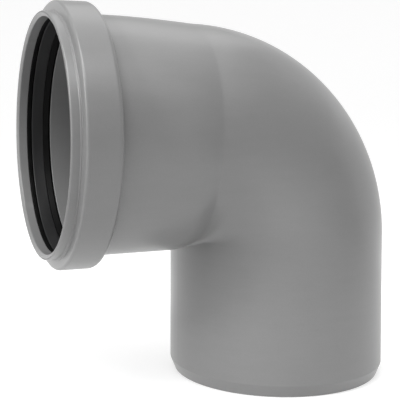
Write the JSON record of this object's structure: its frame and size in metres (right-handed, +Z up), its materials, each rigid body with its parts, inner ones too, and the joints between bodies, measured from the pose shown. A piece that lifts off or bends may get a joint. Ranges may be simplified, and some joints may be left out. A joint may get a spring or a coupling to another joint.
{
  "type": "drain pipe elbow",
  "caption": "Right-angle push-fit pipe elbow in grey PVC, with a collared ring-seal socket at one end and a plain chamfered spigot at the other.",
  "frame": {"origin": "centre of the spigot's end face, on the spigot's axis", "axes": "+Z up along the spigot's axis towards the bend; the socket's mouth opens towards -X; the elbow is symmetric about the XZ plane"},
  "size_m": [0.18, 0.1276, 0.1868],
  "materials": {
    "grey_pvc": "satin",
    "black_rubber": "satin",
    "dark_plastic": "satin"
  },
  "bodies": {
    "root": {"elbow_body": "grey_pvc", "sealing_ring": "black_rubber", "retaining_ring": "dark_plastic"}
  },
  "joints": []
}
